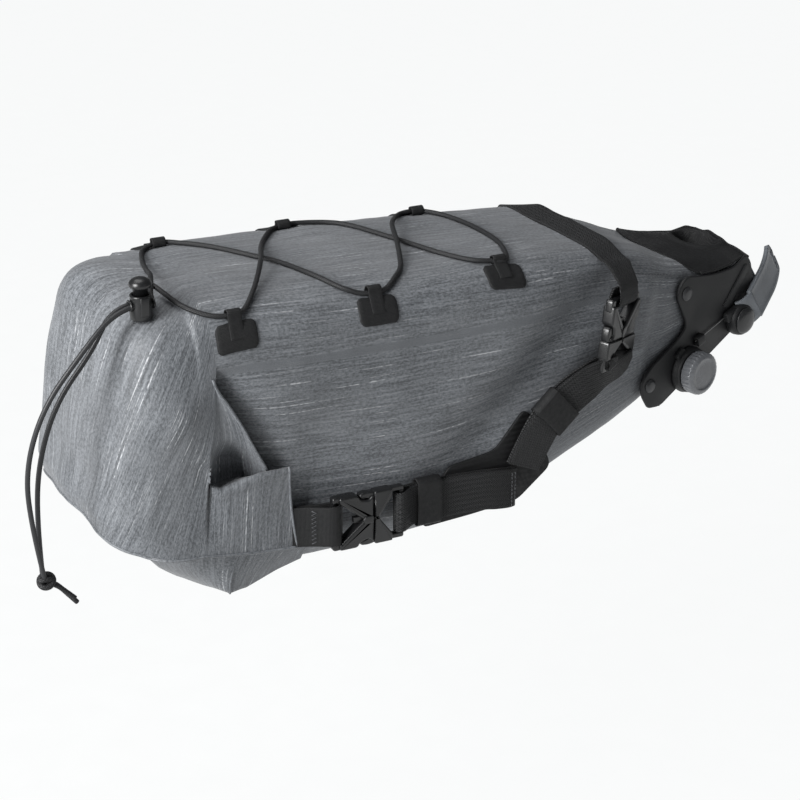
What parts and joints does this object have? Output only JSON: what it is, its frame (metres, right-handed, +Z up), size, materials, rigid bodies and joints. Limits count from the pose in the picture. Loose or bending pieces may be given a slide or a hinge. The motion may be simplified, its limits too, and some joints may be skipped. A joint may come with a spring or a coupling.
{
  "type": "saddle bag",
  "caption": "Roll-closed fabric saddle bag with side-release straps, an elastic lacing on top and a dial-tightened rubber strap that clamps its nose to a seatpost.",
  "frame": {"origin": "on the seatpost's axis, level with the middle of the strap that goes round the post", "axes": "+X points forwards from the rear closure to the seatpost, -Y to the rider's right, +Z up"},
  "size_m": [0.5376, 0.182, 0.2133],
  "materials": {
    "bag_fabric": "mid blue-grey slub weave",
    "black_fabric": "coated black fabric",
    "buckle_plastic": "satin black moulding",
    "cord": "black elastic cord",
    "dial_plastic": "gloss dark grey moulding",
    "lace_steel": "fine coated steel lace",
    "panel_plastic": "matt black moulding",
    "rivet_plastic": "matt black rivet",
    "spring_steel": "plain",
    "stiffener_plastic": "natural polymer",
    "strap_rubber": "matt dark rubber",
    "webbing": "black woven webbing"
  },
  "bodies": {
    "bag": {"bag_shell": "bag_fabric", "nose_top_cover": "black_fabric", "nose_base_cover": "black_fabric", "seatpost_cradle": "strap_rubber", "nose_stiffener": "stiffener_plastic", "bungee_cord": "cord", "cord_lock_barrel": "buckle_plastic", "cord_lock_spring": "spring_steel", "tail_upper": "cord", "tail_lower": "cord", "tail_knot": "cord", "dial_base": "panel_plastic", "lace_guide": "panel_plastic", "tightening_lace": "lace_steel", "strap_stud": "panel_plastic", "nose_panel_right": "panel_plastic", "nose_panel_left": "panel_plastic", "nose_rivets_right": "rivet_plastic", "nose_rivets_left": "rivet_plastic", "anchor_patch_right": "black_fabric", "anchor_patch_left": "black_fabric", "lower_webbing_right": "webbing", "lower_webbing_left": "webbing", "lower_buckle_male_right": "buckle_plastic", "lower_buckle_male_left": "buckle_plastic", "upper_buckle_male_right": "buckle_plastic", "upper_buckle_male_left": "buckle_plastic", "side_webbing_lower_right": "webbing", "side_webbing_lower_left": "webbing", "side_webbing_upper_right": "webbing", "side_webbing_upper_left": "webbing", "ladder_webbing_right": "webbing", "ladder_webbing_left": "webbing", "upper_keeper_right": "webbing", "upper_keeper_left": "webbing", "cord_loop_right_1": "black_fabric", "cord_loop_right_2": "black_fabric", "cord_loop_right_3": "black_fabric", "cord_loop_left_1": "black_fabric", "cord_loop_left_2": "black_fabric", "cord_loop_left_3": "black_fabric"},
    "closure": {"roll_closure": "bag_fabric", "mouth_stiffener": "stiffener_plastic", "closure_tab_right": "webbing", "closure_tab_left": "webbing", "lower_buckle_female_right": "buckle_plastic", "lower_buckle_female_left": "buckle_plastic"},
    "saddle_strap": {"saddle_strap": "webbing", "upper_buckle_female_right": "buckle_plastic", "upper_buckle_female_left": "buckle_plastic"},
    "lock_button": {"cord_lock_button": "buckle_plastic"},
    "dial_spool": {"dial_spool": "panel_plastic"},
    "dial_knob": {"dial_knob": "dial_plastic"},
    "puck": {"strap_puck": "panel_plastic", "puck_cap": "dial_plastic"},
    "post_strap": {"post_strap": "strap_rubber"},
    "keeper_right": {"lower_keeper_right": "webbing"},
    "keeper_left": {"lower_keeper_left": "webbing"}
  },
  "joints": [
    {"name": "closure_pull", "type": "slide", "parent": "bag", "child": "closure", "axis": [-1, 0, 0], "range_m": [0, 0.016]},
    {"name": "saddle_strap_lift", "type": "slide", "parent": "bag", "child": "saddle_strap", "axis": [0.1288, 0, 0.9917], "range_m": [0, 0.04]},
    {"name": "cord_lock_press", "type": "slide", "parent": "bag", "child": "lock_button", "axis": [0, 0, -1], "range_m": [0, 0.0038], "stiffness_N_per_m": 900, "springref_m": -0.002},
    {"name": "dial_turn", "type": "hinge", "parent": "bag", "child": "dial_spool", "pos_m": [-0.07855, -0.05202, -0.035], "axis": [0.2907, -0.9568, 0], "range_deg": [0, 100]},
    {"name": "dial_pull", "type": "slide", "parent": "dial_spool", "child": "dial_knob", "axis": [0.2907, -0.9568, 0], "range_m": [0, 0.002]},
    {"name": "puck_slide", "type": "slide", "parent": "bag", "child": "puck", "axis": [-0.9359, -0.2843, -0.2079], "range_m": [0, 0.00524]},
    {"name": "strap_swing", "type": "hinge", "parent": "puck", "child": "post_strap", "pos_m": [-0.01594, -0.0379, -0.0092], "axis": [0.5, 0, -0.866], "range_deg": [0, 70]},
    {"name": "lower_keeper_slide_right", "type": "slide", "parent": "bag", "child": "keeper_right", "axis": [1, 0, 0], "range_m": [-0.002, 0.03]},
    {"name": "lower_keeper_slide_left", "type": "slide", "parent": "bag", "child": "keeper_left", "axis": [1, 0, 0], "range_m": [-0.002, 0.03]}
  ],
  "couplings": [
    {"joint": "dial_turn", "follows": "puck_slide", "rad_per_m": 333.33}
  ]
}
